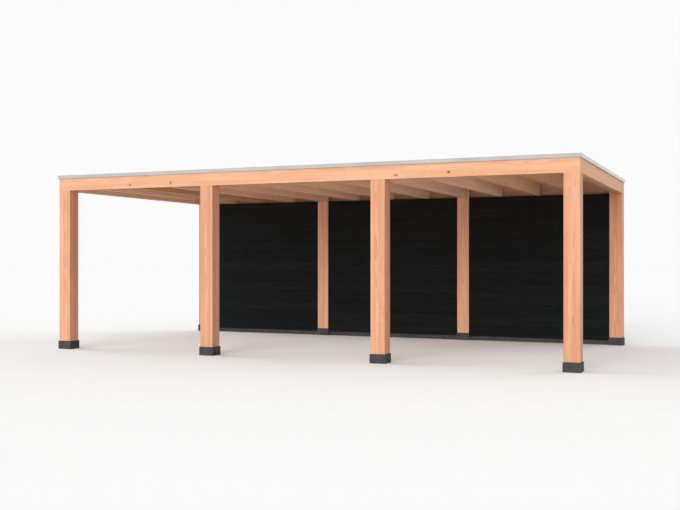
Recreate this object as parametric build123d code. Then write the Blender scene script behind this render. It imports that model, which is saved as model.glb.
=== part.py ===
from build123d import *
import os

# A flat-roofed timber carport, open at the front and at both ends, with a boarded rear wall.
# Eight square posts stand on concrete feet. Their heads are notched for a mitred ring beam,
# which carries housed rafters, a roof deck, a membrane and a metal edge trim.
# Millimetres, +Z up. The origin is on the ground at the middle of the plan, and the front looks along -Y.

# Plan and height of the frame, measured over the outer faces of the posts
frame_length = 7620.0
frame_depth = 4070.0
middle_bay = 2540.0
head_height = 2349.0

# Posts and the concrete feet under them
post_size = 195.0
post_arris = 4.0
foot_size = 215.0
foot_height = 120.0
foot_chamfer = 6.0

# Ring beam and rafters, which share one height so that their undersides are flush
beam_height = 195.0
beam_thickness = 50.0
rafter_width = 65.0
rafter_housing = 10.0
housing_clearance = 0.3
rafters_per_bay = 3

# Rear wall panels between the posts, and the plinth that keeps them off the ground
wall_recess = 20.0
plinth_height = 70.0
plinth_setback = 15.0

# Roof deck and membrane
deck_thickness = 18.0
membrane_thickness = 2.0

# Edge trim, an open metal section: a face with a nose above and a drip below, and a flange inside
trim_overhang = 15.0
trim_face_height = 49.0
trim_lap = 18.0
trim_wall = 2.0
trim_nose = 9.0
trim_nose_radius = 4.0
trim_drip = 6.0
trim_flange_reach = 55.0

# How far every cutting shape runs past what it cuts
overrun = 10.0

beam_top = head_height + beam_height
deck_top = beam_top + deck_thickness
membrane_top = deck_top + membrane_thickness
trim_bottom = beam_top - trim_lap
trim_top = trim_bottom + trim_face_height
foot_step = (foot_size - post_size) / 2
wall_thickness = post_size - 2 * wall_recess

# Plan angles of the four sides, each turned from the front one
side_angles = {"front": 0, "right": 90, "rear": 180, "left": 270}

# Centre lines of the posts
corner_x = (frame_length - post_size) / 2
post_row_y = (frame_depth - post_size) / 2
post_lines = [-corner_x, -middle_bay / 2, middle_bay / 2, corner_x]


def side_span(side):
    """The length of one side of the frame, and its distance from the opposite side."""
    if side in ("front", "rear"):
        return frame_length, frame_depth
    return frame_depth, frame_length


def foot():
    """A concrete block with its upper arrises taken off."""
    block = extrude(Rectangle(foot_size, foot_size), foot_height)
    return chamfer(block.faces().sort_by(Axis.Z)[-1].edges(), foot_chamfer)


def head_notch(angle):
    """The rebate for one length of ring beam, cut down to the shoulder on one face of a post."""
    plan = Rectangle(post_size + 2 * overrun, beam_thickness + overrun)
    centre_y = (beam_thickness - overrun - post_size) / 2
    return Rot(0, 0, angle) * Pos(0, centre_y, head_height) * extrude(plan, beam_height + overrun)


def post(outer_sides):
    """A square post with eased arrises, notched on each side where the ring beam passes."""
    shaft = extrude(Rectangle(post_size, post_size), beam_top - foot_height)
    shaft = Pos(0, 0, foot_height) * chamfer(shaft.edges().filter_by(Axis.Z), post_arris)
    for side in outer_sides:
        shaft -= head_notch(side_angles[side])
    return shaft


def mitred_strip(outer_length, width):
    """The plan of one side of a frame: its outer edge on the X axis, its ends at 45 degrees."""
    half = outer_length / 2
    corners = [(-half, 0), (half, 0), (half - width, width), (width - half, width)]
    return make_face(Polyline(*corners, close=True))


def rafter(x, reach, clearance=0.0):
    """A rafter on one line, reaching the same distance to front and rear of the middle."""
    plan = Rectangle(rafter_width + 2 * clearance, 2 * reach)
    return Pos(x, 0, head_height) * extrude(plan, beam_height)


def ring_beam(side):
    """One length of the ring beam, mitred at the corners, before its housings are cut."""
    length, apart = side_span(side)
    beam = extrude(mitred_strip(length, beam_thickness), beam_height)
    return Rot(0, 0, side_angles[side]) * Pos(0, -apart / 2, head_height) * beam


def wall_panel(left, right):
    """A boarded panel between two posts, stepped over the feet at its lower corners."""
    outline = [
        (left + foot_step, plinth_height),
        (right - foot_step, plinth_height),
        (right - foot_step, foot_height),
        (right, foot_height),
        (right, head_height),
        (left, head_height),
        (left, foot_height),
        (left + foot_step, foot_height),
    ]
    face = Plane.XZ * make_face(Polyline(*outline, close=True))
    return Pos(0, post_row_y, 0) * extrude(face, wall_thickness / 2, both=True)


def plinth(left, right):
    """The strip under a wall panel, from foot to foot and set back from the panel's faces."""
    plan = Rectangle(right - left - 2 * foot_step, wall_thickness - 2 * plinth_setback)
    return Pos((left + right) / 2, post_row_y, 0) * extrude(plan, plinth_height)


def trim_section():
    """The edge trim cut across, with the beam's outer face at zero and the outside towards -Y."""
    outer = -trim_overhang
    inner = outer + trim_wall
    outline = [
        (outer, trim_bottom),
        (outer, trim_top),
        (outer + trim_nose, trim_top),
        (outer + trim_nose, trim_top - trim_wall),
        (inner, trim_top - trim_wall),
        (inner, membrane_top + trim_wall),
        (trim_flange_reach, membrane_top + trim_wall),
        (trim_flange_reach, membrane_top),
        (inner, membrane_top),
        (inner, trim_bottom + trim_wall),
        (outer + trim_drip, trim_bottom + trim_wall),
        (outer + trim_drip, trim_bottom),
    ]
    section = make_face(Polyline(*outline, close=True))
    nose_outside = section.vertices().sort_by_distance((outer, trim_top))[0]
    section = fillet(nose_outside, trim_nose_radius)
    nose_inside = section.vertices().sort_by_distance((inner, trim_top - trim_wall))[0]
    return fillet(nose_inside, trim_nose_radius - trim_wall)


def edge_trim(side):
    """One length of edge trim: the section run along the side and mitred at both ends."""
    length, apart = side_span(side)
    outer_length = length + 2 * trim_overhang
    run = extrude(Plane.YZ * trim_section(), outer_length / 2, both=True)
    plan = mitred_strip(outer_length, trim_overhang + trim_flange_reach)
    corner_cut = Pos(0, -trim_overhang, 0) * extrude(plan, trim_top + overrun)
    return Rot(0, 0, side_angles[side]) * Pos(0, -apart / 2, 0) * (run & corner_cut)


pieces = {}

# Posts and feet, numbered from left to right
for number, x in enumerate(post_lines, start=1):
    end_side = {1: ["left"], len(post_lines): ["right"]}.get(number, [])
    for row, y in (("front", -post_row_y), ("rear", post_row_y)):
        pieces[f"foot_{row}_{number}"] = Pos(x, y, 0) * foot()
        pieces[f"post_{row}_{number}"] = Pos(x, y, 0) * post([row] + end_side)

# Rafters on the two middle post lines, against the end beams, and evenly spaced between those
edge_line = (frame_length - rafter_width) / 2 - beam_thickness
main_lines = [-edge_line, *post_lines[1:-1], edge_line]
bay_lines = []
for start, end in zip(main_lines, main_lines[1:]):
    step = (end - start) / (rafters_per_bay + 1)
    bay_lines += [start + step * place for place in range(1, rafters_per_bay + 1)]

# Those on the main lines stop against the post heads, and the others run into the beams
between_heads = frame_depth / 2 - post_size
into_beams = frame_depth / 2 - beam_thickness + rafter_housing
for number, x in enumerate(sorted(main_lines + bay_lines), start=1):
    reach = between_heads if x in main_lines else into_beams
    pieces[f"rafter_{number:02d}"] = rafter(x, reach)

for side in side_angles:
    beam = ring_beam(side)
    if side in ("front", "rear"):
        for x in bay_lines:
            beam -= rafter(x, into_beams, housing_clearance)
    pieces[f"{side}_beam"] = beam
    pieces[f"{side}_trim"] = edge_trim(side)

# Rear wall and plinth, bay by bay
for bay, start, end in zip(("left", "middle", "right"), post_lines, post_lines[1:]):
    left = start + post_size / 2
    right = end - post_size / 2
    pieces[f"wall_{bay}"] = wall_panel(left, right)
    pieces[f"plinth_{bay}"] = plinth(left, right)

# Roof
pieces["roof_deck"] = Pos(0, 0, beam_top) * extrude(Rectangle(frame_length, frame_depth), deck_thickness)
pieces["roof_membrane"] = Pos(0, 0, deck_top) * extrude(Rectangle(frame_length, frame_depth), membrane_thickness)

os.makedirs("parts", exist_ok=True)
for name, piece in pieces.items():
    piece.label = name
    export_step(piece, f"parts/{name}.step")
print(len(pieces), "pieces written")
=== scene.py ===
# %% [markdown]
# # A timber carport, dressed in Blender
# The carport is a flat roof on eight square posts: planed timber, a black boarded rear wall, dark concrete
# feet and a thin metal roof edge. Its construction comes ready-made as a frame of CAD pieces, and this
# lesson gives every piece its finish. We load that frame first. Nothing that we add may grow past it.

# %% Load the frame
import math
import random

import bmesh
import bpy
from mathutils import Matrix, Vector, noise


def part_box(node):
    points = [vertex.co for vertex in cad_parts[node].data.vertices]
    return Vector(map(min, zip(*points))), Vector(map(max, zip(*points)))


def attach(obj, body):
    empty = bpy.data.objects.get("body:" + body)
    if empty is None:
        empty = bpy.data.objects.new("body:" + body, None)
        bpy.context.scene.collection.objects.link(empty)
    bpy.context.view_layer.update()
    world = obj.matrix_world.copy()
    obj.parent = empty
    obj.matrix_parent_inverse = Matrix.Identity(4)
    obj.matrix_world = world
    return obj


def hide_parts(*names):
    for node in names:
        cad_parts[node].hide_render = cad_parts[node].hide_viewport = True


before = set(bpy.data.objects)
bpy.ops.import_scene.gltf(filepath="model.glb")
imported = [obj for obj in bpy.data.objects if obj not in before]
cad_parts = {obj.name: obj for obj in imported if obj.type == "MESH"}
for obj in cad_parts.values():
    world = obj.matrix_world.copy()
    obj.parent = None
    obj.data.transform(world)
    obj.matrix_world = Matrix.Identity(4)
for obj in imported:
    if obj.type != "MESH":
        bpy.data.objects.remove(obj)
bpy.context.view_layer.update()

scene = bpy.context.scene

# %% [markdown]
# ## The camera
# The picture that we match was taken at chest height, well in front of the carport and beyond its right
# end, with upright verticals. A tilted camera would make the posts lean, so ours is level, and a small
# vertical shift moves the horizon to its place instead.

# %% Place the camera
picture_width = 680
focal_pixels = 949.442
horizon_shift_pixels = 4.54
camera_place = (5.6696, -13.3246, 1.3271)
camera_turn = 0.4111
camera_data = bpy.data.cameras.new("camera")
camera_data.sensor_fit = "HORIZONTAL"
camera_data.sensor_width = 36.0
camera_data.lens = camera_data.sensor_width * focal_pixels / picture_width
camera_data.shift_y = horizon_shift_pixels / picture_width
camera = bpy.data.objects.new("camera", camera_data)
camera.location = camera_place
camera.rotation_euler = (math.radians(90), 0, camera_turn)
scene.collection.objects.link(camera)
scene.camera = camera
scene.view_settings.view_transform = "Standard"
print("camera lens", round(camera_data.lens, 2), "mm")

# %% [markdown]
# ## A small kit for shader nodes
# Finishes are networks of shader nodes. Adding a node by hand takes four or five lines, so short helpers
# keep the networks readable. The first adds any node with its inputs, which may be plain values or the
# sockets of other nodes. The next ones each give the result of one common node, and the last ones open a
# new node group or a new material.

# %% Add a node
node_step = 180


def add(tree, kind, inputs=(), **settings):
    """Adds a shader node. Its inputs, by place or by name, are plain values or sockets to link from."""
    made = tree.nodes.new("ShaderNode" + kind)
    made.location.x = node_step * len(tree.nodes)
    for name, value in settings.items():
        setattr(made, name, value)
    feed(tree, made, inputs)
    return made


def feed(tree, node, inputs):
    """Sets or links the inputs of a node."""
    pairs = inputs.items() if isinstance(inputs, dict) else enumerate(inputs)
    for key, value in pairs:
        if isinstance(value, bpy.types.NodeSocket):
            tree.links.new(value, node.inputs[key])
        else:
            node.inputs[key].default_value = value


print("nodes are laid out", node_step, "units apart")


# %% Values, colours and places
def calc(tree, operation, *values):
    """The result of one Math node."""
    return add(tree, "Math", values, operation=operation).outputs[0]


def times(tree, value, factor):
    """A value multiplied by another."""
    return calc(tree, "MULTIPLY", value, factor)


def vector_calc(tree, operation, *values):
    """The result of one Vector Math node: a vector, or a number for its length."""
    made = add(tree, "VectorMath", values, operation=operation)
    return made.outputs["Value" if operation == "LENGTH" else "Vector"]


def spread(tree, value, low, high, new_low, new_high, curve="LINEAR"):
    """A value stretched from one range to another, and held inside the new one."""
    inputs = [value, low, high, new_low, new_high]
    return add(tree, "MapRange", inputs, interpolation_type=curve).outputs[0]


def cloud(tree, place, detail=2.0, output="Fac"):
    """Soft noise, one cycle for each unit of the place that it is given."""
    return add(tree, "TexNoise", {"Vector": place, "Scale": 1.0, "Detail": detail}).outputs[output]


def tint(tree, share, first, second):
    """A colour between two others."""
    made = add(tree, "Mix", data_type="RGBA")
    feed(tree, made, {0: share, 6: first, 7: second})
    return made.outputs[2]


def relief(tree, strength, depth, height):
    """A normal that follows a height, up to a depth in metres."""
    return add(tree, "Bump", {"Strength": strength, "Distance": depth, "Height": height}).outputs[0]


def object_place(tree):
    """Each point's own place in the carport, in metres."""
    return add(tree, "TexCoord").outputs["Object"]


def stored(tree, name, output="Vector"):
    """A value that the mesh stores at its vertices."""
    return add(tree, "Attribute", attribute_name=name).outputs[output]


def paint(red, green, blue):
    """A colour socket's value, from linear red, green and blue."""
    return (red, green, blue, 1.0)


print("helpers for values, colours and places ready")


# %% Groups and materials
def new_group(name, inputs, outputs):
    """A node group with named sockets, and the sockets to build it between."""
    tree = bpy.data.node_groups.new(name, "ShaderNodeTree")
    for title, kind in inputs.items():
        tree.interface.new_socket(title, in_out="INPUT", socket_type="NodeSocket" + kind)
    for title in outputs:
        tree.interface.new_socket(title, in_out="OUTPUT", socket_type="NodeSocketFloat")
    return tree, tree.nodes.new("NodeGroupInput").outputs, tree.nodes.new("NodeGroupOutput")


def place_group(tree, group, inputs):
    """Places a node group in a material and returns its outputs."""
    made = add(tree, "Group")
    made.node_tree = group
    feed(tree, made, inputs)
    return made.outputs


def new_finish(name):
    """A new material, its node tree and its Principled shader."""
    finish = bpy.data.materials.new(name)
    finish.use_nodes = True
    return finish, finish.node_tree, finish.node_tree.nodes["Principled BSDF"]


print("helpers for groups and materials ready")

# %% [markdown]
# ## Light and sky
# The picture is a studio view with a soft, low light that comes in under the roof, on a page that is almost
# white. A photographed sky could light it, but lamps and an even sky need no file and are easy to change.
# Three wide lamps stand round the carport: one at its left end, one in front, and a faint one behind it on
# the right, so that the right-hand faces stay in shade. The camera and mirror-like surfaces see the sky at
# the page's own white, brighter than the sky that lights the object, and no lamp, so the metal shows a
# plain page.

# %% Light and sky
page_white = 0.964
sky_level = 0.591
lamp_softness = 40
lamps = {  # turn from the front towards the right and height over the horizon, in degrees, and level
    "left lamp": (-90, 12, 2.588),
    "front lamp": (0, 16, 2.045),
    "rear lamp": (135, 35, 0.376),
}

sky = bpy.data.worlds.new("sky")
sky.use_nodes = True
scene.world = sky
tree = sky.node_tree
rays = add(tree, "LightPath").outputs
seen = calc(tree, "MAXIMUM", rays["Is Camera Ray"], rays["Is Glossy Ray"])
seen = calc(tree, "MAXIMUM", seen, rays["Is Transmission Ray"])
white = paint(1, 1, 1)
lighting = add(tree, "Background", {"Color": white, "Strength": sky_level}).outputs[0]
page = add(tree, "Background", {"Color": white, "Strength": page_white}).outputs[0]
mixed = add(tree, "MixShader", [seen, lighting, page]).outputs[0]
feed(tree, tree.nodes["World Output"], {"Surface": mixed})


def place_lamp(name, turn, height, level):
    """A soft lamp far away, turned from the front towards the right and raised from the horizon."""
    lamp_data = bpy.data.lights.new(name, "SUN")
    lamp_data.energy = level
    lamp_data.angle = math.radians(lamp_softness)
    lamp = bpy.data.objects.new(name, lamp_data)
    flat = math.cos(height)
    to_lamp = Vector((flat * math.sin(turn), -flat * math.cos(turn), math.sin(height)))
    lamp.rotation_mode = "QUATERNION"
    lamp.rotation_quaternion = to_lamp.to_track_quat("Z", "Y")
    lamp.visible_glossy = False
    scene.collection.objects.link(lamp)


for name, (turn, height, level) in lamps.items():
    place_lamp(name, math.radians(turn), math.radians(height), level)
print(len(lamps), "lamps and a sky")

# %% [markdown]
# ## The floor
# The floor is one large pale sheet whose colour, once lit, meets the page's white at the horizon. A backdrop
# that curves up would hide the horizon too, but the sky is that white already, so a flat sheet will do. It
# is part of the studio and not of the carport.

# %% Floor
floor_reach = 150.0
floor_colour = paint(0.945, 0.945, 0.945)
floor_finish, tree, shader = new_finish("pale floor")
feed(tree, shader, {"Base Color": floor_colour, "Roughness": 1.0, "Specular IOR Level": 0.0})
floor_mesh = bpy.data.meshes.new("floor")
corners = [(x * floor_reach, y * floor_reach, 0) for x, y in ((-1, -1), (1, -1), (1, 1), (-1, 1))]
floor_mesh.from_pydata(corners, [], [(0, 1, 2, 3)])
floor_mesh.materials.append(floor_finish)
floor = bpy.data.objects.new("floor", floor_mesh)
scene.collection.objects.link(floor)
print("floor reaches", floor_reach, "m each way")

# %% [markdown]
# ## The figure of the timber
# Every board is cut from a round trunk, so its figure is a slice through growth rings. We could paint
# streaks on each face, but then the faces would not agree at the corners. Instead each vertex stores where
# it lies in its trunk: how far along, and how far from the heart in two directions. The node group below
# turns that place into rings and knots, long streaks and fine fibres. No trunk is quite straight, so its
# heart first gets a slight wander.

# %% Timber figure node group
heart_wander = 0.07
figure, given, result = new_group(
    "timber figure",
    {"Grain": "Vector", "Ring Width": "Float", "Knot Share": "Float", "Knot Size": "Float"},
    ["Latewood", "Streak", "Fibre", "Knot"],
)


def stretched(tree, place, along, across):
    """A place in the trunk, measured in cycles along and across the grain."""
    return vector_calc(tree, "MULTIPLY", place, (along, across, across))


grain = given["Grain"]
wander_reach = (0, heart_wander, heart_wander)
wander_start = (0, -heart_wander / 2, -heart_wander / 2)
wander = cloud(figure, stretched(figure, grain, 0.6, 1.5), 1.0, "Color")
wander = vector_calc(figure, "MULTIPLY_ADD", wander, wander_reach, wander_start)
heart = vector_calc(figure, "ADD", grain, wander)
radius = vector_calc(figure, "LENGTH", vector_calc(figure, "MULTIPLY", heart, (0, 1, 1)))
along, across, through = add(figure, "SeparateXYZ", [heart]).outputs
angle = calc(figure, "ARCTAN2", through, across)
print("timber figure begun:", len(figure.nodes), "nodes")

# %% [markdown]
# ## Knots
# A knot is a branch that grew out from the heart, cut across. Knots drawn on each face would again disagree
# at the corners. Seen from the heart, branches are scattered along the trunk and round it, so their places
# come from a cell texture in those two directions. Chance keeps a share of the branches and sets their size.

# %% Knots in the figure
knot_spacing = 0.55
knot_turn = 1.25
branch_along = calc(figure, "DIVIDE", along, knot_spacing)
branch_round = calc(figure, "DIVIDE", angle, knot_turn)
branch = add(figure, "CombineXYZ", [branch_along, branch_round]).outputs[0]
cells = add(figure, "TexVoronoi", {"Vector": branch, "Scale": 1.0}, voronoi_dimensions="2D").outputs
apart = vector_calc(figure, "SUBTRACT", branch, cells["Position"])
cell_size = add(figure, "CombineXYZ", [knot_spacing, times(figure, radius, knot_turn)]).outputs[0]
from_knot = vector_calc(figure, "LENGTH", vector_calc(figure, "MULTIPLY", apart, cell_size))
chance, size, _ = add(figure, "SeparateColor", [cells["Color"]]).outputs
present = calc(figure, "LESS_THAN", chance, given["Knot Share"])
knot_radius = times(figure, spread(figure, size, 0, 1, 0.4, 1), given["Knot Size"])
ratio = calc(figure, "DIVIDE", from_knot, knot_radius)
knot = times(figure, spread(figure, ratio, 0.7, 1.15, 1, 0, "SMOOTHSTEP"), present)
print("timber figure with knots:", len(figure.nodes), "nodes")

# %% [markdown]
# ## Rings, streaks and fibres
# A year's ring is pale early wood that darkens to a hard edge of late wood. We count rings from the heart,
# and the part after the decimal point says how far through its ring a place lies. Rings ripple a little and
# bend round a knot, which has small rings of its own. Streaks and fibres are noise, drawn out along the
# grain.

# %% Rings, streaks and fibres
knot_bend = 2.2
bend_falloff = 0.12
knot_rings_per_metre = 420
bulge = calc(figure, "EXPONENT", times(figure, calc(figure, "POWER", ratio, 2), -bend_falloff))
bulge = times(figure, times(figure, bulge, present), knot_bend)
ripple = cloud(figure, stretched(figure, grain, 0.8, 12), 2.0)
bends = calc(figure, "ADD", ripple, bulge)
rings = calc(figure, "ADD", calc(figure, "DIVIDE", radius, given["Ring Width"]), bends)
latewood = calc(figure, "POWER", calc(figure, "FRACT", rings), 3)
knot_rings = calc(figure, "FRACT", times(figure, from_knot, knot_rings_per_metre))
feed(figure, result, {
    "Latewood": add(figure, "Mix", {0: knot, 2: latewood, 3: knot_rings}).outputs[0],
    "Streak": cloud(figure, stretched(figure, grain, 0.45, 15), 3.0),
    "Fibre": cloud(figure, stretched(figure, grain, 9, 420), 2.0),
    "Knot": knot,
})
print("timber figure complete:", len(figure.nodes), "nodes")

# %% [markdown]
# ## Worn arrises
# An arris is the sharp line where two faces meet. Handling and weather rub it first, so it shows a little
# lighter on timber and concrete alike. Blender can find edges by the bend of a dense mesh, but our timbers
# have few vertices. So each piece stores its offset from the middle of its own box, and half the size of
# that box. On a face one of the three distances to the sides is nothing, and the middle one of the three is
# then the distance to the nearest arris.

# %% Worn arris node group
rubs_per_metre = 22
arris_wear, given, result = new_group(
    "worn arris",
    {"Offset": "Vector", "Half Size": "Vector", "Width": "Float"},
    ["Wear"],
)
from_middle = vector_calc(arris_wear, "ABSOLUTE", given["Offset"])
inside = vector_calc(arris_wear, "SUBTRACT", given["Half Size"], from_middle)
dx, dy, dz = add(arris_wear, "SeparateXYZ", [inside]).outputs
low_pair = calc(arris_wear, "MINIMUM", dx, dy)
high_pair = calc(arris_wear, "MAXIMUM", dx, dy)
to_arris = calc(arris_wear, "MAXIMUM", low_pair, calc(arris_wear, "MINIMUM", high_pair, dz))
rubs = vector_calc(arris_wear, "MULTIPLY", given["Offset"], (rubs_per_metre,) * 3)
patchy = spread(arris_wear, cloud(arris_wear, rubs, 4.0), 0.35, 0.7, 0.15, 1.6)
reach = times(arris_wear, given["Width"], patchy)
share = calc(arris_wear, "DIVIDE", to_arris, reach)
feed(arris_wear, result, {"Wear": spread(arris_wear, share, 0.2, 1, 1, 0)})


def worn(tree, width):
    """How worn a surface is, within a width along its arrises."""
    return place_group(tree, arris_wear, {
        "Offset": stored(tree, "offset"), "Half Size": stored(tree, "half"), "Width": width})["Wear"]


print("worn arris:", len(arris_wear.nodes), "nodes")

# %% [markdown]
# ## Planed timber
# The posts, beams and rafters are planed softwood with a warm, reddish heart, left untreated. Noise alone
# would look painted on, so the colour follows the figure, from pale early wood to darker late wood, with
# long streaks that are what still shows from a distance. Soft darker blushes and small flecks of resin lie
# over it. A dark timber of this kind is also a redder one, so its stored tone sets the saturation as well as
# the brightness. That tone also carries painted shade, which comes out darker and redder, and painted light,
# which comes out brighter and paler. The same figure drives the roughness and a slight relief, because late
# wood stands proud after planing. The front beam shows four small knots at known places, so its finish has
# those instead of scattered ones.

# %% Knots on the front beam
beam_knots = [  # along the beam, height, half width and half height
    (-2.541, 2.397, 0.016, 0.010),
    (-1.851, 2.406, 0.010, 0.019),
    (1.517, 2.395, 0.021, 0.010),
    (2.212, 2.407, 0.016, 0.014),
]
far_from_knots = 9.0


def front_knots(tree):
    """How far a point is from the nearest knot on the front beam: 1 at the knot's rim, less inside it."""
    place = object_place(tree)
    nearest = far_from_knots
    for x, z, half_wide, half_high in beam_knots:
        offset = vector_calc(tree, "SUBTRACT", place, (x, 0, z))
        share = vector_calc(tree, "MULTIPLY", offset, (1 / half_wide, 0, 1 / half_high))
        nearest = calc(tree, "MINIMUM", nearest, vector_calc(tree, "LENGTH", share))
    return nearest


print(len(beam_knots), "knots to place on the front beam")

# %% Colour of planed timber
timber_arris = 0.004
knot_colour = paint(0.21, 0.055, 0.028)
knot_halo = paint(0.50, 0.19, 0.10)
fleck_colour = paint(0.36, 0.14, 0.07)


def timber_colour(tree, place, parts, pale, dark, placed_knots):
    """The colour of planed timber: its figure, blushes, flecks, knots and worn arrises."""
    late = times(tree, parts["Latewood"], 0.55)
    streak = spread(tree, parts["Streak"], 0.36, 0.68, 0, 0.7)
    fibre = spread(tree, parts["Fibre"], 0.3, 0.7, 0, 0.16)
    shade = calc(tree, "ADD", calc(tree, "ADD", late, streak), fibre)
    colour = tint(tree, shade, pale, dark)
    blush = spread(tree, cloud(tree, stretched(tree, place, 2.6, 9), 2.0), 0.55, 0.72, 0, 0.45)
    colour = tint(tree, blush, colour, dark)
    fleck = spread(tree, cloud(tree, stretched(tree, place, 24, 190), 1.0), 0.66, 0.74, 0, 0.55)
    colour = tint(tree, fleck, colour, fleck_colour)
    knots = parts["Knot"]
    if placed_knots:
        nearest = front_knots(tree)
        halo = spread(tree, nearest, 0.8, 3.0, 0.5, 0, "SMOOTHSTEP")
        colour = tint(tree, halo, colour, knot_halo)
        knots = calc(tree, "MAXIMUM", knots, spread(tree, nearest, 0.7, 1.2, 1, 0, "SMOOTHSTEP"))
    colour = tint(tree, times(tree, knots, 0.88), colour, knot_colour)
    return tint(tree, times(tree, worn(tree, timber_arris), 0.3), colour, pale)


print("arrises of timber rub over about", timber_arris, "m")

# %% Planed timber finishes
ring_width = 0.0075
knot_size = 0.015
timber_relief = 0.0008
beam_pale = paint(0.765, 0.448, 0.288)
beam_dark = paint(0.63, 0.315, 0.177)


def timber_finish(name, pale, dark, knot_share=0.05, placed_knots=False):
    """Planed timber between two colours."""
    finish, tree, shader = new_finish(name)
    place = stored(tree, "grain")
    parts = place_group(tree, figure, {
        "Grain": place, "Ring Width": ring_width, "Knot Share": knot_share, "Knot Size": knot_size})
    colour = timber_colour(tree, place, parts, pale, dark, placed_knots)
    tone = stored(tree, "tone", "Fac")
    # the tone carries painted shade and painted light too: a darker tone comes out redder, a tone above one
    # paler
    redness = spread(tree, tone, 0.55, 1.15, 1.35, 0.88)
    toned = add(tree, "HueSaturation", {"Saturation": redness, "Value": tone, "Color": colour})
    height = calc(tree, "ADD", times(tree, parts["Latewood"], 0.6), parts["Fibre"])
    feed(tree, shader, {
        "Base Color": toned.outputs[0],
        "Roughness": spread(tree, parts["Fibre"], 0.3, 0.7, 0.72, 0.55),
        "Specular IOR Level": 0.3,
        "Normal": relief(tree, 0.25, timber_relief, height),
    })
    return finish


post_timber = timber_finish("post timber", paint(0.745, 0.412, 0.262), paint(0.55, 0.243, 0.134))
beam_timber = timber_finish("beam timber", beam_pale, beam_dark)
front_timber = timber_finish("front beam timber", beam_pale, beam_dark, knot_share=0.0, placed_knots=True)
rafter_timber = timber_finish("rafter timber", paint(0.80, 0.53, 0.37), paint(0.67, 0.385, 0.24))
print("timber finishes:", post_timber.name, beam_timber.name, front_timber.name, rafter_timber.name)

# %% [markdown]
# ## Rounded copies of the CAD forms
# Timbers have notched heads, mitred ends and housings. Modelling them again would risk small errors, so
# each piece starts as a copy of its CAD form. The copy is welded, its flat faces are made whole again, and
# every sharp edge gets a small round, as planed timber has from the cutter and from sandpaper. That round
# catches the light along the edges. Concrete and metal pieces start in the same way, with rounds of their
# own.

# %% Copy and show a CAD form
weld_distance = 0.00002
flat_angle = math.radians(1)
sharp_angle = math.radians(25)


def rounded_copy(node, size, steps=2):
    """The form of one CAD piece, with its sharp edges rounded to a size."""
    form = bmesh.new()
    form.from_mesh(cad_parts[node].data)
    bmesh.ops.remove_doubles(form, verts=form.verts, dist=weld_distance)
    bmesh.ops.dissolve_limit(form, angle_limit=flat_angle, verts=form.verts, edges=form.edges)
    sharp = [edge for edge in form.edges if edge.calc_face_angle(0) > sharp_angle]
    bmesh.ops.bevel(form, geom=sharp, offset=size, segments=steps, profile=0.5, affect="EDGES",
                    clamp_overlap=True)
    return form


def mesh_from(form, name):
    """Turns an edited form into a mesh."""
    mesh = bpy.data.meshes.new(name)
    form.to_mesh(mesh)
    form.free()
    return mesh


def show(mesh, name, finish, slot, *replaced):
    """Puts a finished mesh in the scene as a piece that stands for some CAD nodes."""
    mesh.materials.append(finish)
    piece = bpy.data.objects.new(name, mesh)
    scene.collection.objects.link(piece)
    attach(piece, "root")
    if replaced:
        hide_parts(*replaced)
    return piece


print("edges bent by more than", round(math.degrees(sharp_angle)), "degrees get a round")

# %% [markdown]
# ## Marks for the shaders
# The finishes read four values that each mesh stores at its vertices: the offset from the middle of its
# box, half the size of that box, the place in the trunk, and a tone. A UV map holds only two numbers, but
# three of these values are vectors in metres, so they are attributes. A seeded random heart makes no two
# timbers alike, and the same seed gives the same carport on every run.

# %% Mark a mesh
chance_of = random.Random(20)
axes_from = {"X": (0, 1, 2), "Y": (1, 0, 2), "Z": (2, 0, 1)}
trunk_length = 60
underside_depth = 0.0001


def store(mesh, name, kind, values):
    """Stores one value for each vertex of a mesh."""
    field = "value" if kind == "FLOAT" else "vector"
    flat_values = values if kind == "FLOAT" else [number for value in values for number in value]
    mesh.attributes.new(name, kind, "POINT").data.foreach_set(field, flat_values)


def mark_box(mesh):
    """Stores each vertex's offset from the middle of the mesh, and half the size of its box."""
    points = [vertex.co for vertex in mesh.vertices]
    low = Vector(min(point[i] for point in points) for i in range(3))
    high = Vector(max(point[i] for point in points) for i in range(3))
    middle = (low + high) / 2
    store(mesh, "offset", "FLOAT_VECTOR", [point - middle for point in points])
    store(mesh, "half", "FLOAT_VECTOR", [(high - low) / 2] * len(points))
    return middle


def mark_grain(mesh, axis, heart_away, tones, underside=1.0):
    """Stores each vertex's place in a trunk along an axis, and a tone, with a smaller share underneath as
    painted shade.
    """
    middle = mark_box(mesh)
    start = chance_of.uniform(0, trunk_length)
    turn = chance_of.uniform(0, 2 * math.pi)
    heart_place = (heart_away * math.cos(turn), heart_away * math.sin(turn))
    first, second, third = axes_from[axis]
    bottom = min(vertex.co.z for vertex in mesh.vertices)
    tone = chance_of.uniform(*tones)
    places, shades = [], []
    for vertex in mesh.vertices:
        point = vertex.co - middle
        across_heart = (point[second] + heart_place[0], point[third] + heart_place[1])
        places.append((point[first] + start, *across_heart))
        # painted shade: vertices on the underside take a smaller share of the tone
        shades.append(tone * underside if vertex.co.z < bottom + underside_depth else tone)
    store(mesh, "grain", "FLOAT_VECTOR", places)
    store(mesh, "tone", "FLOAT", shades)


print("vertices can store a box, a grain and a tone")
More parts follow.
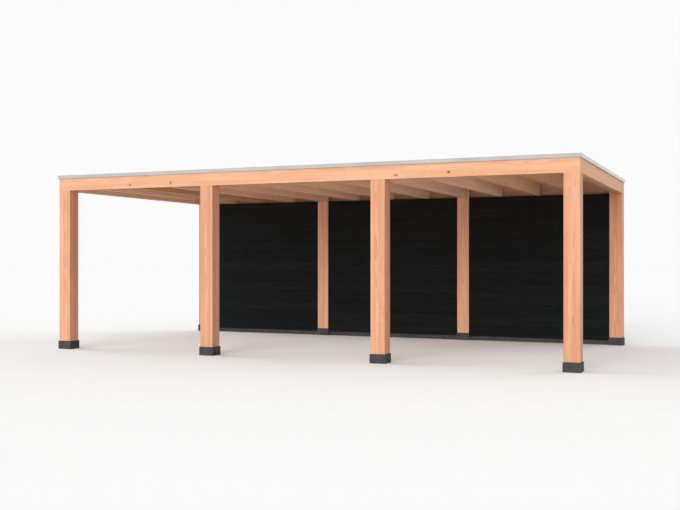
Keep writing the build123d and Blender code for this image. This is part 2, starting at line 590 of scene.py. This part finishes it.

# %% [markdown]
# ## Posts, beams and rafters
# Timbers of one frame still differ in tone. Chance alone could set it, but the posts and rafters follow the
# picture, and each timber gets only a small random change. A few rafters are darker as painted shade, and
# two of the rear posts are brighter and less red as painted light. The undersides of beams and rafters get a
# smaller share of the tone, which is painted shade.

# %% Dress the timbers
side_axes = {"front": "X", "right": "Y", "rear": "X", "left": "Y"}
arris_round = 0.0025
post_heart = 0.03
beam_heart = 0.12
rafter_heart = 0.10
# painted shade: the share of the tone that the undersides of beams and rafters get
underside_painted_shade = 0.72
tone_spread = 0.015
# the rear posts' tones above one are painted light: brighter and less red than the timber itself
post_tones_and_painted_light = {"front": (1.0, 0.985, 0.98, 0.965), "rear": (1.0, 1.03, 1.07, 0.97)}
beam_tone = 1.0
rafter_tone = 1.09
# painted shade: these rafters are toned darker for the shade that falls on them under the roof
rafters_in_painted_shade = {"rafter_03": 0.76, "rafter_11": 0.88, "rafter_12": 0.74, "rafter_13": 0.74}


def dress_timber(node, axis, finish, heart_away, tone, underside=1.0):
    """Replaces one CAD timber by its rounded, grained copy, near a tone."""
    mesh = mesh_from(rounded_copy(node, arris_round), node + "_planed")
    mark_grain(mesh, axis, heart_away, (tone - tone_spread, tone + tone_spread), underside)
    return show(mesh, node + "_planed", finish, "timber", node)


timbers = []
for row, tones in post_tones_and_painted_light.items():
    for number, tone in enumerate(tones, start=1):
        timbers.append(dress_timber(f"post_{row}_{number}", "Z", post_timber, post_heart, tone))
for side, axis in side_axes.items():
    finish = front_timber if side == "front" else beam_timber
    timbers.append(dress_timber(f"{side}_beam", axis, finish, beam_heart, beam_tone, underside_painted_shade))
rafter_nodes = sorted(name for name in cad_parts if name.startswith("rafter_"))
for node in rafter_nodes:
    tone = rafters_in_painted_shade.get(node, rafter_tone)
    timbers.append(dress_timber(node, "Y", rafter_timber, rafter_heart, tone, underside_painted_shade))
print(len(timbers), "timbers,", sum(len(piece.data.polygons) for piece in timbers), "faces")

# %% [markdown]
# ## Boards in long runs
# The rear wall and the roof deck are made of many like boards. Each board is a closed strip: an outline
# drawn across it, run along X. One object for each board would crowd the scene, so a small class gathers
# the boards of one panel in one mesh, and gives each board its own grain and tone, as boards from different
# trunks have.

# %% A gatherer for boards
heart_sideways = (-0.06, 0.06)
heart_behind = (0.05, 0.12)


class Boards:
    """Boards along X, gathered in one mesh."""

    def __init__(self, tones):
        self.points, self.faces, self.places, self.tones = [], [], [], []
        self.tone_range = tones
        self.next_trunk()

    def next_trunk(self):
        """Picks the tone and the heart of the next board."""
        self.tone = chance_of.uniform(*self.tone_range)
        self.start = chance_of.uniform(0, trunk_length)
        self.heart = (chance_of.uniform(*heart_sideways), chance_of.uniform(*heart_behind))

    def lay(self, outline, left, right, middle):
        """Adds a strip with an outline of (y, z) points, anticlockwise as seen from the right."""
        first = len(self.points)
        count = len(outline)
        for x in (left, right):
            for y, z in outline:
                self.points.append((x, y, z))
                from_heart = (z - middle[1] + self.heart[0], y - middle[0] + self.heart[1])
                self.places.append((x + self.start, *from_heart))
                self.tones.append(self.tone)
        for i in range(count):
            j = (i + 1) % count
            self.faces.append((first + i, first + j, first + count + j, first + count + i))
        self.faces.append(tuple(first + i for i in reversed(range(count))))
        self.faces.append(tuple(first + count + i for i in range(count)))

    def mesh(self, name):
        """The gathered mesh, with its grain and tones."""
        made = bpy.data.meshes.new(name)
        made.from_pydata(self.points, [], self.faces)
        store(made, "grain", "FLOAT_VECTOR", self.places)
        store(made, "tone", "FLOAT", self.tones)
        mark_box(made)
        return made


print("board gatherer ready")

# %% [markdown]
# ## Black stain
# The boards of the rear wall are stained black. One even black would look like a hole in the picture, and
# stain never sinks in evenly. So the boards are a little blotchy, and grain and knots show as a deeper
# black, a slight relief and a change of gloss.

# %% Black stain
board_ring_width = 0.006
board_knot_size = 0.026
board_knot_share = 0.35
board_relief = 0.001
stain_finish, tree, shader = new_finish("black stain")
board_grain = stored(tree, "grain")
parts = place_group(tree, figure, {
    "Grain": board_grain,
    "Ring Width": board_ring_width,
    "Knot Share": board_knot_share,
    "Knot Size": board_knot_size,
})
late = times(tree, parts["Latewood"], 0.55)
streak = times(tree, parts["Streak"], 0.5)
blotch = cloud(tree, stretched(tree, board_grain, 2.4, 16), 2.0)
blotch = spread(tree, blotch, 0.32, 0.68, -0.06, 0.26)
shade = calc(tree, "ADD", calc(tree, "ADD", late, streak), blotch)
colour = tint(tree, shade, paint(0.0121, 0.0135, 0.0139), paint(0.0044, 0.0049, 0.0052))
colour = tint(tree, times(tree, parts["Knot"], 0.5), colour, paint(0.0022, 0.0022, 0.0022))
toned = add(tree, "HueSaturation", {"Value": stored(tree, "tone", "Fac"), "Color": colour})
height = calc(tree, "ADD", times(tree, parts["Latewood"], 0.7), parts["Fibre"])
feed(tree, shader, {
    "Base Color": toned.outputs[0],
    "Roughness": spread(tree, parts["Streak"], 0.3, 0.7, 0.8, 0.6),
    "Specular IOR Level": 0.09,
    "Normal": relief(tree, 0.4, board_relief, height),
})
print("black stain:", len(tree.nodes), "nodes")

# %% [markdown]
# ## Boards on the rear wall
# The rear wall is closed with horizontal boards on both faces of each bay. Thirteen boards fill the height.
# A bump in the finish could draw the joints, but it would look flat from near by. So the edges are planed
# off in the mesh, and each joint is a fine V that holds a thin line of shadow. Most boards have cupped a
# little, which gives them a slightly hollow face. The lowest board is notched round the concrete feet.

# %% One wall board
board_hollow = (0.0002, 0.0011)
joint_chamfer = 0.0025
foot_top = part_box("foot_rear_1")[1].z
foot_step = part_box("foot_rear_1")[1].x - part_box("post_rear_1")[1].x


def wall_outline(face, back, low, high, chamfer_low, chamfer_high, hollow):
    """A board across: its slightly hollow face, its back, and its planed-off edges."""
    out = math.copysign(1, face - back)
    points = [
        (face - out * chamfer_low, low),
        (back, low),
        (back, high),
        (face - out * chamfer_high, high),
        (face, high - chamfer_high),
        (face - out * hollow, (low + high) / 2),
        (face, low + chamfer_low),
    ]
    return points if out < 0 else points[::-1]


def lay_wall_board(boards, panel, face, back, low, high):
    """One wall board, in two flat strips where its lower part is notched round the feet."""
    (left, _, _), (right, _, _) = panel
    middle = ((face + back) / 2, (low + high) / 2)
    hollow = chance_of.uniform(*board_hollow)
    boards.next_trunk()
    if low < foot_top:
        lower = wall_outline(face, back, low, foot_top, joint_chamfer, 0, 0)
        boards.lay(lower, left + foot_step, right - foot_step, middle)
        upper = wall_outline(face, back, foot_top, high, 0, joint_chamfer, 0)
        boards.lay(upper, left, right, middle)
    else:
        whole = wall_outline(face, back, low, high, joint_chamfer, joint_chamfer, hollow)
        boards.lay(whole, left, right, middle)


print("feet reach", round(foot_step, 4), "m past the posts")

# %% Board the bays
bays = ("left", "middle", "right")
board_count = 13
board_thickness = 0.02
board_tones = (0.9, 1.15)
joint_gap = 0.001


def board_wall(bay):
    """The boards on both faces of one bay, and the dark core between them."""
    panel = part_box(f"wall_{bay}")
    low, high = panel
    boards = Boards(board_tones)
    pitch = (high.z - low.z) / board_count
    for face, back in ((low.y, low.y + board_thickness), (high.y, high.y - board_thickness)):
        for place in range(board_count):
            bottom = low.z + place * pitch + (joint_gap / 2 if place else 0)
            top = low.z + (place + 1) * pitch - (joint_gap / 2 if place < board_count - 1 else 0)
            lay_wall_board(boards, panel, face, back, bottom, top)
    near, far = low.y + board_thickness, high.y - board_thickness
    core = [(near, foot_top), (far, foot_top), (far, high.z), (near, high.z)]
    boards.lay(core, low.x, high.x, (0, 0))
    core_foot = [(near, low.z), (far, low.z), (far, foot_top), (near, foot_top)]
    boards.lay(core_foot, low.x + foot_step, high.x - foot_step, (0, 0))
    name = f"wall_{bay}_boards"
    return show(boards.mesh(name), name, stain_finish, "black_boards", f"wall_{bay}")


walls = [board_wall(bay) for bay in bays]
print(len(walls), "boarded bays,", sum(len(wall.data.polygons) for wall in walls), "faces")

# %% [markdown]
# ## The roof deck
# The roof is boarded across the rafters with tongued boards, seen only from below. Their lower edges are
# planed off, so the underside shows a V at each joint. One long strip for each row would be simple, but
# boards are sold shorter than this roof. So each row is cut over two rafters, and the cuts are staggered
# from row to row.

# %% Deck boards
deck_timber = timber_finish("deck timber", paint(0.72, 0.47, 0.32), paint(0.57, 0.32, 0.19), knot_share=0.15)
deck_rows = 29
deck_chamfer = 0.004
deck_gap = 0.001
deck_tones = (0.9, 1.06)
deck_low, deck_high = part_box("roof_deck")
deck_pitch = (deck_high.y - deck_low.y) / deck_rows
rafter_lines = [sum(corner.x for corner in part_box(node)) / 2 for node in rafter_nodes]
cut_places = [(3, 8), (5, 10), (2, 7), (4, 9)]  # which rafters a row is cut over
deck = Boards(deck_tones)
for row in range(deck_rows):
    near = deck_low.y + row * deck_pitch + (deck_gap / 2 if row else 0)
    far = deck_low.y + (row + 1) * deck_pitch - (deck_gap / 2 if row < deck_rows - 1 else 0)
    across_board = [
        (near + deck_chamfer, deck_low.z),
        (far - deck_chamfer, deck_low.z),
        (far, deck_low.z + deck_chamfer),
        (far, deck_high.z),
        (near, deck_high.z),
        (near, deck_low.z + deck_chamfer),
    ]
    middle = ((near + far) / 2, deck_low.z)
    cuts = [rafter_lines[place] for place in cut_places[row % len(cut_places)]]
    starts = [deck_low.x] + [cut + deck_gap / 2 for cut in cuts]
    ends = [cut - deck_gap / 2 for cut in cuts] + [deck_high.x]
    for left, right in zip(starts, ends):
        deck.next_trunk()
        deck.lay(across_board, left, right, middle)
deck_mesh = deck.mesh("roof_deck_boards")
show(deck_mesh, "roof_deck_boards", deck_timber, "deck_boards", "roof_deck")
print(deck_rows, "rows of deck boards,", len(deck_mesh.polygons), "faces")

# %% [markdown]
# ## Mottled surfaces
# Concrete, bare metal and roofing are never one even colour. They share a cloudy variation at two scales:
# broad patches, and a fine speckle. It is the same effect each time, so it is one node group, with the size
# of the patches as an input.

# %% Mottle node group
speckles_per_patch = 17
mottle, given, result = new_group(
    "mottle",
    {"Place": "Vector", "Patches per Metre": "Float"},
    ["Patch", "Speckle"],
)
sizing = {0: given["Place"], "Scale": given["Patches per Metre"]}
scaled = add(mottle, "VectorMath", sizing, operation="SCALE").outputs[0]
fine = vector_calc(mottle, "MULTIPLY", scaled, (speckles_per_patch,) * 3)
feed(mottle, result, {
    "Patch": spread(mottle, cloud(mottle, scaled, 5.0), 0.3, 0.7, 0, 1),
    "Speckle": spread(mottle, cloud(mottle, fine, 3.0), 0.3, 0.7, 0, 1),
})


def mottled(tree, patches_per_metre):
    """The patches and speckles of a surface."""
    return place_group(tree, mottle, {
        "Place": object_place(tree), "Patches per Metre": patches_per_metre})


print("mottle:", len(mottle.nodes), "nodes")

# %% [markdown]
# ## Concrete feet and plinth
# Each post stands on a cast block of dark dyed concrete, and a low strip of the same concrete carries the
# wall. Cast concrete has a cloudy skin, small air holes, and arrises that rub pale. The holes are only
# millimetres wide, too small to cut in the mesh, so they are in the nodes with the colours. The arrises are
# rounded in the mesh.

# %% Dyed concrete
holes_per_metre = 95.0
concrete_arris = 0.007
concrete_relief = 0.0015
concrete_finish, tree, shader = new_finish("dyed concrete")
clouds = mottled(tree, patches_per_metre=9.0)
colour = tint(tree, clouds["Patch"], paint(0.046, 0.045, 0.045), paint(0.080, 0.079, 0.078))
colour = tint(tree, times(tree, clouds["Speckle"], 0.45), colour, paint(0.037, 0.036, 0.036))
holes = add(tree, "TexVoronoi", {"Vector": object_place(tree), "Scale": holes_per_metre}).outputs
few = calc(tree, "LESS_THAN", add(tree, "SeparateColor", [holes["Color"]]).outputs[0], 0.3)
hole = times(tree, spread(tree, holes["Distance"], 0.12, 0.3, 1, 0, "SMOOTHSTEP"), few)
colour = tint(tree, times(tree, hole, 0.7), colour, paint(0.02, 0.02, 0.02))
wear = times(tree, worn(tree, concrete_arris), 0.5)
height = calc(tree, "SUBTRACT", times(tree, clouds["Speckle"], 0.35), hole)
feed(tree, shader, {
    "Base Color": tint(tree, wear, colour, paint(0.14, 0.138, 0.135)),
    "Roughness": spread(tree, clouds["Patch"], 0, 1, 0.78, 0.92),
    "Specular IOR Level": 0.25,
    "Normal": relief(tree, 0.6, concrete_relief, height),
})
print("dyed concrete:", len(tree.nodes), "nodes")

# %% Cast the feet and the plinth
concrete_round = 0.003
cast_nodes = sorted(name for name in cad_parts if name.startswith(("foot_", "plinth_")))
for node in cast_nodes:
    mesh = mesh_from(rounded_copy(node, concrete_round), node + "_cast")
    mark_box(mesh)
    show(mesh, node + "_cast", concrete_finish, "concrete", node)
print(len(cast_nodes), "concrete pieces")

# %% [markdown]
# ## The metal roof edge
# The roof edge is a thin pressed section of bare aluminium, mitred at the corners. A plain grey would look
# like paint, so this is a true metal, which dulls in soft patches. Rolling leaves fine lines along its
# length, and its roughness varies across them. The copy of the CAD section gets a tiny round on each edge
# and the same kind of lengthwise place as the timbers.

# %% Mill aluminium
metal_relief = 0.0004
metal_finish, tree, shader = new_finish("mill aluminium")
rolled = cloud(tree, stretched(tree, stored(tree, "grain"), 3, 900), 3.0)
clouds = mottled(tree, patches_per_metre=3.0)
colour = tint(tree, clouds["Patch"], paint(0.70, 0.68, 0.665), paint(0.61, 0.592, 0.578))
gloss = spread(tree, rolled, 0.3, 0.7, 0.32, 0.44)
feed(tree, shader, {
    "Base Color": tint(tree, times(tree, rolled, 0.2), colour, paint(0.50, 0.488, 0.478)),
    "Metallic": 1.0,
    "Roughness": calc(tree, "ADD", gloss, times(tree, clouds["Patch"], 0.08)),
    "Normal": relief(tree, 0.12, metal_relief, rolled),
})
print("mill aluminium:", len(tree.nodes), "nodes")

# %% Lengths of roof edge
trim_round = 0.0004
for side, axis in side_axes.items():
    node = f"{side}_trim"
    mesh = mesh_from(rounded_copy(node, trim_round, steps=1), node + "_pressed")
    mark_grain(mesh, axis, heart_away=0.0, tones=(1.0, 1.0))
    show(mesh, node + "_pressed", metal_finish, "edge_trim", node)
print(len(side_axes), "lengths of roof edge")

# %% [markdown]
# ## The roof membrane
# The roof is sealed with one black rubber sheet, seen only from above. Dust gathers on it in patches, and
# rain stands in its hollows. Where a puddle dries, it leaves a film of silt with a pale line round its
# shore. A flat box would be enough for the shape, but such a sheet is never dead flat. So its top is a grid
# of points with low swells that die out towards the edges, where it is held down.

# %% Roof rubber
puddles_per_metre = (0.8, 1.1, 1)
shore_level = 0.57
silt_level = 0.62
shore_width = 0.012
rubber_relief = 0.0006
rubber_finish, tree, shader = new_finish("roof rubber")
clouds = mottled(tree, patches_per_metre=1.1)
dusty = times(tree, clouds["Patch"], spread(tree, clouds["Speckle"], 0, 1, 0.35, 0.8))
puddle = cloud(tree, vector_calc(tree, "MULTIPLY", object_place(tree), puddles_per_metre), 2.0)
from_shore = calc(tree, "ABSOLUTE", calc(tree, "SUBTRACT", puddle, shore_level))
shore = spread(tree, from_shore, 0, shore_width, 0.42, 0, "SMOOTHSTEP")
silt = calc(tree, "MAXIMUM", shore, spread(tree, puddle, shore_level, silt_level, 0, 0.3))
silt = times(tree, silt, spread(tree, clouds["Speckle"], 0, 1, 0.5, 1))
dusty = calc(tree, "ADD", dusty, silt)
feed(tree, shader, {
    "Base Color": tint(tree, dusty, paint(0.019, 0.019, 0.020), paint(0.066, 0.064, 0.060)),
    "Roughness": spread(tree, dusty, 0, 1, 0.62, 0.88),
    "Specular IOR Level": 0.35,
    "Normal": relief(tree, 0.2, rubber_relief, clouds["Speckle"]),
})
print("roof rubber:", len(tree.nodes), "nodes")

# %% Membrane sheet
sheet_low, sheet_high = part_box("roof_membrane")
cell = 0.06
swell = 0.0012
still_edge = 0.10
broad_per_metre = 1.3
finer_per_metre = 4
columns = round((sheet_high.x - sheet_low.x) / cell)
rows = round((sheet_high.y - sheet_low.y) / cell)


def swell_at(x, y):
    """How far the sheet rises at a place: broad and finer swells, and none near its edges."""
    inset = min(x - sheet_low.x, sheet_high.x - x, y - sheet_low.y, sheet_high.y - y)
    calm = min(1.0, max(0.0, inset - still_edge) / still_edge)
    broad = noise.noise(Vector((x * broad_per_metre, y * broad_per_metre, 0.0)))
    finer = noise.noise(Vector((x * finer_per_metre, y * finer_per_metre, 5.0)))
    return swell * calm * (broad + 0.5 * finer)


points = []
for row in range(rows + 1):
    for column in range(columns + 1):
        x = sheet_low.x + (sheet_high.x - sheet_low.x) * column / columns
        y = sheet_low.y + (sheet_high.y - sheet_low.y) * row / rows
        points.append((x, y, sheet_high.z + swell_at(x, y)))
faces = []
for row in range(rows):
    for column in range(columns):
        corner = row * (columns + 1) + column
        faces.append((corner, corner + 1, corner + columns + 2, corner + columns + 1))
rim = list(range(columns))
rim += [row * (columns + 1) + columns for row in range(rows)]
rim += [rows * (columns + 1) + column for column in range(columns, 0, -1)]
rim += [row * (columns + 1) for row in range(rows, 0, -1)]
base = len(points)
points += [(points[place][0], points[place][1], sheet_low.z) for place in rim]
for i in range(len(rim)):
    j = (i + 1) % len(rim)
    faces.append((base + i, base + j, rim[j], rim[i]))
faces.append(tuple(base + i for i in reversed(range(len(rim)))))
mesh = bpy.data.meshes.new("roof_membrane_sheet")
mesh.from_pydata(points, [], faces)
show(mesh, "roof_membrane_sheet", rubber_finish, "membrane", "roof_membrane")
print("membrane of", len(mesh.polygons), "faces")

# %% [markdown]
# ## Screws
# Screws hold the roof edge down through its inner flange, and hold the wall boards to the hidden studs. A
# screw head is a small turned form. A plain cylinder would lose its domed top and its recess, so a short
# profile is spun round its axis. All heads of one length of roof edge, or of one face of a bay, are joined
# in one mesh.

# %% Screw steel
screw_patches = 160.0
screw_finish, tree, shader = new_finish("screw steel")
clouds = mottled(tree, screw_patches)
feed(tree, shader, {
    "Base Color": tint(tree, clouds["Patch"], paint(0.62, 0.61, 0.60), paint(0.46, 0.45, 0.44)),
    "Metallic": 1.0,
    "Roughness": spread(tree, clouds["Speckle"], 0, 1, 0.28, 0.45),
})
black_screw_finish, tree, shader = new_finish("blackened screw steel")
clouds = mottled(tree, screw_patches)
feed(tree, shader, {
    "Base Color": tint(tree, clouds["Patch"], paint(0.006, 0.006, 0.006), paint(0.012, 0.012, 0.011)),
    "Roughness": spread(tree, clouds["Speckle"], 0, 1, 0.5, 0.7),
    "Specular IOR Level": 0.12,
})
print("screw finishes:", screw_finish.name, black_screw_finish.name)

# %% Screw heads
head_sides = 12
pan_profile = [  # shares of the radius and the height, from the rim over the top to the floor of the recess
    (1.0, 0.0),
    (1.0, 0.45),
    (0.82, 0.85),
    (0.48, 1.0),
    (0.34, 0.95),
    (0.30, 0.35),
]


def screw_heads(name, places, out, radius, height, finish, slot):
    """Pan heads at some places, all standing out in one direction, in one mesh."""
    across_axis = out.orthogonal()
    other_axis = out.cross(across_axis)
    points, faces = [], []
    for place in places:
        first = len(points)
        for wide, high in pan_profile:
            for step in range(head_sides):
                turn = 2 * math.pi * step / head_sides
                spoke = across_axis * math.cos(turn) + other_axis * math.sin(turn)
                points.append(place + spoke * wide * radius + out * high * height)
        for ring in range(len(pan_profile) - 1):
            for step in range(head_sides):
                a = first + ring * head_sides + step
                b = first + ring * head_sides + (step + 1) % head_sides
                faces.append((a, b, b + head_sides, a + head_sides))
        last = first + (len(pan_profile) - 1) * head_sides
        faces.append(tuple(range(last, last + head_sides)))
        faces.append(tuple(reversed(range(first, first + head_sides))))
    mesh = bpy.data.meshes.new(name)
    mesh.from_pydata(points, [], faces)
    return show(mesh, name, finish, slot)


print("a screw head has", head_sides * len(pan_profile), "points")

# %% Screws along the roof edge
screw_spacing = 0.3
screw_inset = 0.048
screw_radius = 0.0045
screw_height = 0.0028
flange_thickness = 0.002
flange_top = sheet_high.z + flange_thickness
up = Vector((0, 0, 1))
edge_screws = 0
for side, axis in side_axes.items():
    low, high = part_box(f"{side}_trim")
    lengthwise, crosswise, _ = axes_from[axis]
    line = low[crosswise] + screw_inset if side in ("front", "left") else high[crosswise] - screw_inset
    start, end = low[lengthwise] + screw_spacing / 2, high[lengthwise] - screw_spacing / 2
    count = round((end - start) / screw_spacing)
    places = []
    for number in range(count + 1):
        place = Vector((0, 0, flange_top))
        place[lengthwise] = start + (end - start) * number / count
        place[crosswise] = line
        places.append(place)
    screw_heads(f"{side}_trim_screws", places, up, screw_radius, screw_height, screw_finish, "edge_trim")
    edge_screws += len(places)
print(edge_screws, "screws in the roof edge")

# %% Screws in the wall boards
stud_lines = 5
stud_inset = 0.045
screws_across = (0.22, 0.78)
screw_stray = 0.004
wall_screw_radius = 0.0038
wall_screw_height = 0.0012
sunk = 0.0006
wall_screws = 0
for bay in bays:
    low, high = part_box(f"wall_{bay}")
    pitch = (high.z - low.z) / board_count
    left, right = low.x + stud_inset, high.x - stud_inset
    wall_faces = {
        "front": (low.y + sunk, Vector((0, -1, 0))),
        "back": (high.y - sunk, Vector((0, 1, 0))),
    }
    for face, (y, out) in wall_faces.items():
        places = []
        for stud in range(stud_lines):
            x = left + (right - left) * stud / (stud_lines - 1)
            for board in range(board_count):
                for share in screws_across:
                    shift = chance_of.uniform(-screw_stray, screw_stray)
                    places.append(Vector((x + shift, y, low.z + (board + share) * pitch)))
        screw_heads(f"wall_{bay}_{face}_screws", places, out, wall_screw_radius, wall_screw_height,
                    black_screw_finish, "black_boards")
        wall_screws += len(places)
print(wall_screws, "screws in the wall boards")
